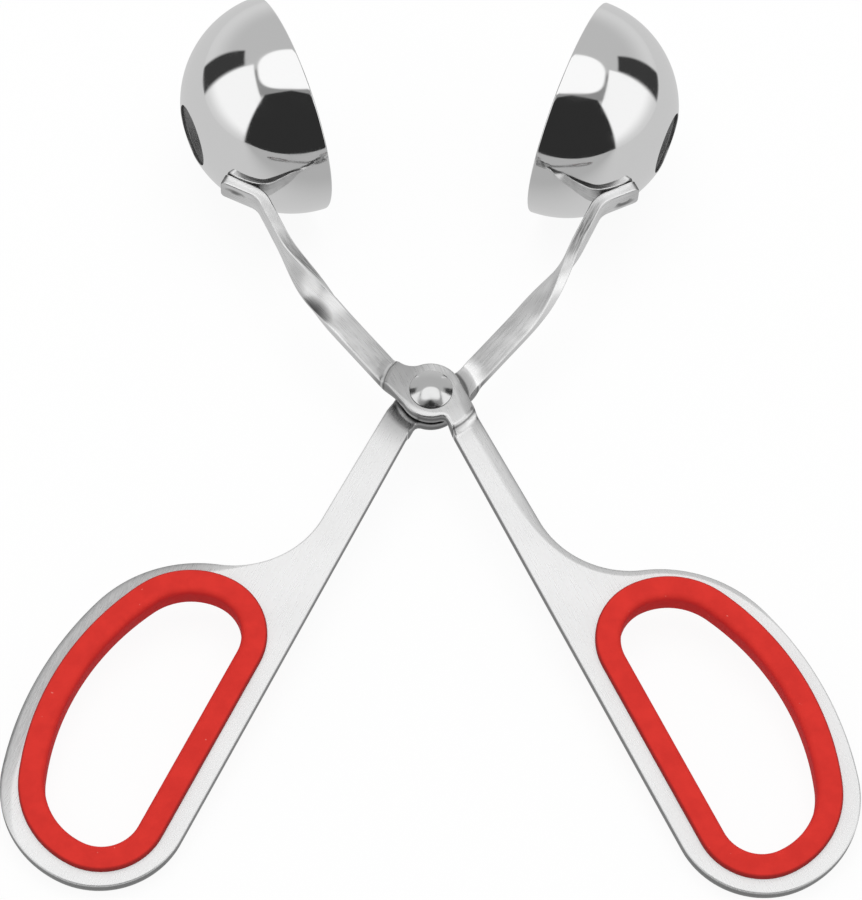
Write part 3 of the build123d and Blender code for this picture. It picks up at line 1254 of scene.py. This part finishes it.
# %% Outline of the blank
def blank_outline():
    """Draw the outside of the blank anticlockwise, as named stretches of points."""
    loop, inner_end, neck_end = loop_stretches()
    middle = Vector((0, 0))
    inner_way = on_arm(Vector((0, -1))) - on_arm(middle)
    inner_out = Vector((inner_way.y, -inner_way.x))
    low = corner_at_hub(on_arm(middle), inner_way, inner_out, shank_fillet)
    root = on_arm(Vector((hub_radius - hub_inset - edge_offset, 0)))
    outer_way = (neck_end - root).normalized()
    outer_out = Vector((-outer_way.y, outer_way.x))
    side = corner_at_hub(root, outer_way, outer_out, shank_fillet)
    top = corner_at_hub(strip_point(0, 0.5), strip_way, strip_across, strip_fillet)
    back = corner_at_hub(strip_point(0, -0.5), strip_way, -strip_across, shank_fillet)
    return [
        ("plain", arc_between(*low, clockwise=True)),
        ("plain", run(low[2], inner_end)),
        *loop,
        ("shank", run(neck_end, side[2])),
        ("plain", arc_between(side[0], side[2], side[1], clockwise=True)),
        ("plain", arc_between(middle, side[1], top[1])),
        ("plain", arc_between(*top, clockwise=True)),
        *strip_stretches(top[2], back[2]),
        ("plain", arc_between(back[0], back[2], back[1], clockwise=True)),
        ("disc", arc_between(middle, back[1], low[1])),
    ]


print("blank outline of", len(blank_outline()), "stretches")

# %% [markdown]
# The press then gives the blank its shape. Up the arm it bows and twists the strip, so each
# point goes beside the middle line, turned by the twist there. The tab gets two weld dimples
# outside, and inside it is pressed on to the ball of the cup.

# %% Bend the strip
dimple_radius = 0.85
dimple_depth = 0.30
dimple_side = 0.55
dimple_back = (2.0, 4.6)


def dimple(distance, aside):
    """Give the depth of the two weld marks on the outside of the tab."""
    depth = 0.0
    for back in dimple_back:
        off = math.hypot(distance - strip_length + back, aside - dimple_side) / dimple_radius
        if off < 1:
            depth += dimple_depth * (1 - off * off) ** 2
    return depth


def bend_strip(distance, aside, height):
    """Place a point of the bowed and twisted strip, and seat the tab on the ball."""
    spot, angle, twist = middle_line(distance)
    along = pointing(angle).to_3d()
    level = Vector((along.y, -along.x, 0))
    width_way = level * math.cos(twist) + Vector((0, 0, math.sin(twist)))
    if height > 0:
        height -= dimple(distance, aside)
    placed = spot.to_3d() + width_way * aside + width_way.cross(along) * height
    from_ball = placed - ball_centre.to_3d()
    if from_ball.length < cup_radius:
        placed = ball_centre.to_3d() + from_ball.normalized() * cup_radius
    return placed


print("weld dimples", dimple_depth, "mm deep")

# %% [markdown]
# Near the rivet the press steps the disc out of the sheet, so that the two arms cross with
# their handles level. One function does it all: it takes a point of the flat blank and a
# height in the sheet, and says where the press leaves it.

# %% Press the blank
step_inside = 7.2
step_run = 1.3
step_run_inside = 2.1
step_wall = 2.0
step_ease = 0.22
step_ease_inside = 0.45
strip_crown = 0.08
strip_crown_from = (5.0, 8.0, 1.0)


def ramp(value, low, high, ease):
    """Rise from 0 to 1 in a straight line, with its two corners eased."""
    slope = 1 / (high - low)
    if value < low - ease:
        return 0.0
    if value < low + ease:
        return slope * (value - low + ease) ** 2 / (4 * ease)
    if value < high - ease:
        return slope * (value - low)
    if value < high + ease:
        return 1 - slope * (high + ease - value) ** 2 / (4 * ease)
    return 1.0


def press(point, height):
    """Give the place of a point of the blank after pressing, in the arm's frame."""
    rel = point - strip_root
    distance = rel.dot(strip_way)
    aside = rel.dot(strip_across)
    edge_share = min(1.0, (2 * aside / strip_width) ** 2)
    height *= 1 - strip_crown * edge_share * ramp(distance, *strip_crown_from)
    if distance > strip_flat:
        return bend_strip(distance, aside, height)
    away = point.length
    down = ramp(away, step_inside, step_inside + step_run_inside, step_ease_inside)
    low = disc_bottom - (disc_bottom + half_sheet) * down
    start = step_inside + step_wall
    down = ramp(away, start, start + step_run, step_ease)
    high = disc_top - (disc_top - half_sheet) * down
    share = (height + half_sheet) / sheet_thickness
    return Vector((point.x, point.y, low + (high - low) * share))


print("the press puts the rivet's hole at", round(press(Vector((0, 0)), 0).z, 2), "mm")

# %% [markdown]
# Stamping leaves its marks at the edges. The punch rolls the edge over on the side where it
# enters, and the belt that takes off the burr flattens the other side of the loop's back. So
# each stretch says how its edge is on each face: how wide, how deep, how much of a flat bevel
# rather than a round, and how much of the belt's scratches it has.

# %% Finish of the edges
plain_round = (0.32, 0.32, 0.0, 0.0)
bore_round = (0.1, 0.1, 0.0, 0.0)
ground_edge = (3.2, 0.42, 1.0, 1.0)
front_rounds = {
    "shank": (2.7, 0.36, 0.7, 0.45),
    "neck": (1.4, 0.40, 0.7, 0.5),
    "crown": (1.1, 0.36, 0.6, 0.4),
    "disc": (1.5, 0.34, 0.4, 0.0),
}
back_rounds = {
    "crown": ground_edge,
    "belly": ground_edge,
    "sole": (2.4, 0.34, 1.0, 0.6),
    "disc": (0.12, 0.12, 0.0, 0.0),
}
spread_times = 3
spread_points = 5
spread = range(-spread_points, spread_points + 1)


def spread_rounds(stretches, rounds):
    """List the finish at each point, running softly from one stretch into the next."""
    sizes = []
    for kind, points in stretches:
        sizes += [Vector(rounds.get(kind, plain_round))] * len(points)
    count = len(sizes)
    for _ in range(spread_times):
        sizes = [
            sum((sizes[(i + k) % count] for k in spread), Vector((0, 0, 0, 0))) / len(spread)
            for i in range(count)
        ]
    return sizes


print("widest edge", max(size[0] for size in back_rounds.values()), "mm")

# %% [markdown]
# The mesh of an arm is a stack of loops. From the wall, a few loops climb the edge to the
# flat face, each a little further in, and each point keeps its marks of wear. A last loop
# close by keeps the shading of the face flat.

# %% Climb an edge
edge_loops = 5
guard = 0.04
shear_fade = 3


def inward(points, index):
    """Give the direction into the steel at one point of a loop that keeps steel on its left."""
    before = points[index - 1]
    after = points[(index + 1) % len(points)]
    way = (after - before).normalized()
    return Vector((-way.y, way.x))


def edge_stack(points, sizes, sign):
    """Climb from the wall to a face: loops of flat points, heights, and marks of wear."""
    stack = []
    for loop in range(edge_loops + 1):
        climb = math.pi / 2 * loop / edge_loops
        even = loop / edge_loops
        sheared = (1 - math.sin(climb)) ** shear_fade
        ring = []
        for index, point in enumerate(points):
            width, depth, bevel, belt = sizes[index]
            into = width * (bevel * even + (1 - bevel) * (1 - math.cos(climb)))
            drop = depth * (1 - bevel * even - (1 - bevel) * math.sin(climb))
            spot = point + inward(points, index) * into
            belted = belt if 0 < loop < edge_loops else 0.0
            ring.append((spot, sign * (half_sheet - drop), (sheared, belted, 0)))
        stack.append(ring)
    ring = []
    for index, point in enumerate(points):
        into = inward(points, index) * (sizes[index][0] + guard)
        ring.append((point + into, sign * half_sheet, (0, 0, 0)))
    stack.append(ring)
    return stack


print("an edge takes", edge_loops + 2, "loops")

# %% [markdown]
# A face is filled with triangles between its loops. The press bends it, so extra points go
# where it needs them: rows over the strip, closer at the tab with its dimples, and rings
# over the disc, closer on its step.

# %% Scatter points over the blank
bore_radius = 2.55
rows_from = strip_flat * 0.4
row_gap = 0.6
tab_row_gap = 0.3
last_row = 0.6
tab_rows = 6.5
strip_columns = 7
tab_columns = 15
columns_width = 0.84
first_ring = 0.8
last_ring = 1.0
ring_gap = 0.6
step_ring_gap = 0.22
step_ring_from = step_inside - 0.6
ring_spacing = 0.5
step_end = step_inside + step_wall + step_run


def row_points():
    """Scatter rows of points over the strip."""
    found = []
    distance = rows_from
    while distance < strip_length - last_row:
        at_tab = distance > strip_length - tab_rows
        columns = tab_columns if at_tab else strip_columns
        for column in range(columns):
            share = (column + 0.5) / columns - 0.5
            found.append(strip_point(distance, share * columns_width))
        distance += tab_row_gap if at_tab else row_gap
    return found


def ring_points():
    """Scatter rings of points over the disc and its step."""
    found = []
    radius = bore_radius + first_ring
    while radius < step_end + last_ring:
        count = math.ceil(math.tau * radius / ring_spacing)
        found += [pointing(math.tau * step / count) * radius for step in range(count)]
        radius += step_ring_gap if radius > step_ring_from else ring_gap
    return found


print(len(row_points()), "points in rows and", len(ring_points()), "in rings")

# %% [markdown]
# Only the points well inside the steel are kept, as one close to an edge would make slivers.
# Where the rows meet the rings the fill is better off with neither.

# %% Keep the points that fit
edge_clearance = math.sqrt(0.12)
meeting_reach = step_end + 1.2
meeting_from = rows_from - 0.3
meeting_half_width = 2.6


def inside(point, loop):
    """Say whether a point lies inside a loop."""
    within = False
    before = loop[-1]
    for after in loop:
        if (before.y > point.y) != (after.y > point.y):
            share = (point.y - before.y) / (after.y - before.y)
            if point.x < before.x + share * (after.x - before.x):
                within = not within
        before = after
    return within


def fill_points(loop):
    """Keep the points well inside a loop, apart from those where rows and rings meet."""
    kept = []
    for point in row_points() + ring_points():
        rel = point - strip_root
        on_strip = abs(rel.dot(strip_across)) < meeting_half_width
        if on_strip and point.length < meeting_reach and rel.dot(strip_way) > meeting_from:
            continue
        clear = min((point - edge).length_squared for edge in loop) > edge_clearance**2
        if clear and inside(point, loop):
            kept.append(point)
    return kept


print("points kept", round(edge_clearance, 2), "mm off the edges")

# %% [markdown]
# The triangles come from a Delaunay fill that keeps the loops as edges. It may merge or add
# points, so each point that it gives is matched with the vertex that it came from.

# %% Fill a face
fill_precision = 1e-5


def fill_face(rings, extra):
    """Fill between an outer ring and its holes: points, triangles, and where each came from."""
    points = []
    edges = []
    for ring in rings:
        first = len(points)
        points += ring
        edges += [(first + i, first + (i + 1) % len(ring)) for i in range(len(ring))]
    filled = delaunay_2d_cdt(points + extra, edges, [], 0, fill_precision)
    triangles = []
    for corners in filled[2]:
        middle = sum((filled[0][i] for i in corners), Vector((0, 0))) / 3
        if inside(middle, rings[0]) and not any(inside(middle, hole) for hole in rings[1:]):
            triangles.append(corners)
    origin = [min(source) if source else -1 for source in filled[3]]
    return filled[0], triangles, origin


def close_face(shape, add, stacks, made, height):
    """Fill one face of an arm between the last loops of its edges."""
    last = [[spot[0] for spot in stack[-1]] for stack in stacks]
    corners = [vertex for stack in made for vertex in stack[-1]]
    points, triangles, origin = fill_face(last, fill_points(last[0]))
    vertices = []
    for point, source in zip(points, origin):
        known = 0 <= source < len(corners)
        vertices.append(corners[source] if known else add(point, height))
    for triangle in triangles:
        three = [vertices[i] for i in triangle]
        if len(set(three)) == 3:
            shape.faces.new(three)


print("face filling ready")

# %% [markdown]
# Both arms are now built from the one blank: its outside, the window for the ring and the
# rivet's hole. Each point goes through the press as it is added, and it stores its place on
# the blank and its wear for the finish.

# %% Build the arms
grip_web = 2.0
bore_pieces = 48


def arm_mesh(name, seat):
    """Build one arm flat, press each point, and lay it on its seat."""
    stretches = blank_outline()
    outer = [point for _, points in stretches for point in points]
    window = [on_arm(point) for point in finger_outline(grip_web)][::-1]
    bore = [pointing(-math.tau * step / bore_pieces) * bore_radius for step in range(bore_pieces)]
    shape = bmesh.new()
    blank_layer = shape.verts.layers.float_vector.new("blank")
    wear_layer = shape.verts.layers.float_vector.new("wear")
    place = seat @ Matrix.Scale(mm, 4)

    def add(point, height, wear=(0, 0, 0)):
        vertex = shape.verts.new(place @ press(point, height))
        vertex[blank_layer] = Vector((point.x, point.y, height)) * mm
        vertex[wear_layer] = wear
        return vertex

    walls = []
    for sign, rounds in ((1, front_rounds), (-1, back_rounds)):
        stacks = [
            edge_stack(outer, spread_rounds(stretches, rounds), sign),
            edge_stack(window, [plain_round] * len(window), sign),
            edge_stack(bore, [bore_round] * len(bore), sign),
        ]
        made = [[[add(*spot) for spot in ring] for ring in stack] for stack in stacks]
        for stack in made:
            for ring, following in zip(stack, stack[1:]):
                bridge(shape, ring, following)
        close_face(shape, add, stacks, made, sign * half_sheet)
        walls.append([stack[0] for stack in made])
    for upper, lower in zip(*walls):
        bridge(shape, upper, lower)
    return finish_mesh(name, shape)


front_arm = arm_mesh("front_stamped_arm", front_seat)
dress(front_arm, arm_look, "front_half", "front_arm")
back_arm = arm_mesh("back_stamped_arm", back_seat)
dress(back_arm, arm_look, "back_half", "back_arm")

# %% [markdown]
# A grip is one rubber section, swept round the finger hole. That is a job for Geometry
# Nodes. The section has a flange above and below, and a groove between them that holds the
# steel. Its corners are drawn from named sizes, the lower half mirrors the upper one, and
# each corner has a round of its own.

# %% Draw the section of a grip
grip_fit = 0.05
grip_sizes = {
    "Web": grip_web - grip_fit,
    "Flange": 5.0,
    "Lip": 1.4,
    "Half Groove": half_sheet + grip_fit,
    "Outer Round": 0.6,
    "Inner Round": 1.3,
    "Groove Round": 0.1,
}
grip_round_pieces = 5


def choose_by_index(sheet, data_type, choices):
    """Add a switch that gives each point of a curve a value of its own."""
    switch = sheet.tree.nodes.new("GeometryNodeIndexSwitch")
    switch.data_type = data_type
    while len(switch.index_switch_items) < len(choices):
        switch.index_switch_items.new()
    for socket, value in zip(switch.inputs, [sheet.node("InputIndex"), *choices]):
        sheet.feed(socket, value)
    return Value(sheet, switch.outputs[0])


def grip_section(sheet, size):
    """Draw the section as a closed curve with rounded corners."""
    groove = size["Half Groove"]
    top = groove + size["Lip"]
    upper = [
        (0.0, top, size["Inner Round"]),
        (size["Flange"], top, size["Outer Round"]),
        (size["Flange"], groove, size["Groove Round"]),
        (size["Web"], groove, size["Groove Round"]),
    ]
    corners = upper + [(out, 0 - up, corner_round) for out, up, corner_round in upper[::-1]]
    maths = Sheet(sheet.tree)
    spots = [maths.node("CombineXYZ", None, {"X": out, "Y": up}) for out, up, _ in corners]
    spot = choose_by_index(sheet, "VECTOR", spots)
    radius = choose_by_index(sheet, "FLOAT", [corner_round for _, _, corner_round in corners])
    line = sheet.node("CurvePrimitiveLine")
    line = sheet.node("ResampleCurve", None, {"Curve": line, "Count": len(corners)})
    line = sheet.node("SetPosition", None, {"Geometry": line, "Position": spot})
    line = sheet.node("SetSplineCyclic", None, {"Geometry": line, "Cyclic": True})
    inputs = {"Curve": line, "Count": grip_round_pieces, "Radius": radius}
    return sheet.node("FilletCurve", {"mode": "POLY"}, inputs)


print("grip section", grip_sizes["Flange"], "mm wide")

# %% [markdown]
# The tree takes the hole's outline as a curve and sweeps the section along it. The section's
# own places are stored before the sweep, for the finish to read after it. The tree ends in
# Realize Instances and Set Material, because the export keeps only real faces.

# %% Build the tree that sweeps a grip
def add_inputs(tree):
    """Name the tree's inputs: the path, the sizes of the section, and the finish."""
    kinds = {"Geometry": "Geometry", **dict.fromkeys(grip_sizes, "Float"), "Finish": "Material"}
    for name, kind in kinds.items():
        tree.interface.new_socket(name, in_out="INPUT", socket_type="NodeSocket" + kind)
    tree.interface.new_socket("Geometry", in_out="OUTPUT", socket_type="NodeSocketGeometry")


def grip_tree():
    """Build the tree that sweeps a grooved ring along a closed curve."""
    tree = bpy.data.node_groups.new("moulded_ring", "GeometryNodeTree")
    add_inputs(tree)
    sheet = Sheet(tree, "GeometryNode")
    maths = Sheet(tree)
    entry = tree.nodes.new("NodeGroupInput")
    path = Value(sheet, entry.outputs[0])
    size = {name: Value(maths, entry.outputs[name]) for name in grip_sizes}
    inputs = {"Geometry": grip_section(sheet, size), "Name": "section"}
    inputs["Value"] = sheet.node("InputPosition")
    section = sheet.node("StoreNamedAttribute", {"data_type": "FLOAT_VECTOR"}, inputs)
    ring = sheet.node("CurveToMesh", None, {"Curve": path, "Profile Curve": section})
    ring = sheet.node("SetShadeSmooth", None, {"Geometry": ring})
    ring = sheet.node("RealizeInstances", None, {"Geometry": ring})
    finish = Value(sheet, entry.outputs["Finish"])
    ring = sheet.node("SetMaterial", None, {"Geometry": ring, "Material": finish})
    leave = tree.nodes.new("NodeGroupOutput")
    sheet.feed(leave.inputs[0], ring)
    return tree


ring_tree = grip_tree()
print("ring tree has", len(ring_tree.nodes), "nodes")

# %% [markdown]
# The path is the finger hole's outline as a closed curve. The evaluated result becomes a
# plain mesh, which is laid on the handle of its arm. The right loop is on the front arm and
# the left one on the back arm. Mirrors don't see the grips, as the photograph's cups have no
# red in them.

# %% Sweep the grips
def path_object(name, points):
    """Make a closed curve in its own plane from flat points."""
    curve = bpy.data.curves.new(name, "CURVE")
    curve.dimensions = "3D"
    spline = curve.splines.new("POLY")
    spline.points.add(len(points) - 1)
    for spot, point in zip(spline.points, points):
        spot.co = (point.x, point.y, 0, 1)
    spline.use_cyclic_u = True
    return link(bpy.data.objects.new(name, curve))


def sweep_grip(name, seat):
    """Run the tree on the finger hole's outline, and lay the plain mesh on the handle."""
    path = path_object(name + "_path", finger_outline(0))
    modifier = path.modifiers.new("ring", "NODES")
    modifier.node_group = ring_tree
    given = {**grip_sizes, "Finish": rubber_look}
    for item in ring_tree.interface.items_tree:
        if item.in_out == "INPUT" and item.name in given:
            modifier[item.identifier] = given[item.name]
    bpy.context.view_layer.update()
    evaluated = path.evaluated_get(bpy.context.evaluated_depsgraph_get())
    mesh = bpy.data.meshes.new_from_object(evaluated)
    path.modifiers.remove(modifier)
    bpy.data.objects.remove(path)
    shape = bmesh.new()
    shape.from_mesh(mesh)
    bpy.data.meshes.remove(mesh)
    handle = Matrix.Translation((edge_offset * mm, 0, 0)) @ Matrix.Rotation(edge_angle, 4, "Z")
    place = seat @ handle @ Matrix.Scale(mm, 4)
    bmesh.ops.transform(shape, matrix=place, verts=shape.verts)
    return finish_mesh(name, shape)


for side, seat, body in (("right", front_seat, "front_half"), ("left", back_seat, "back_half")):
    grip = sweep_grip(side + "_soft_grip", seat)
    grip.visible_glossy = False
    dress(grip, rubber_look, body, side + "_grip")

# %% Sizes and finish
visual_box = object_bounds()
sizes = {
    "cad": [list(corner) for corner in cad_box],
    "visual": [list(corner) for corner in visual_box],
}
print("visual box", [[round(value / mm, 2) for value in corner] for corner in sizes["visual"]])
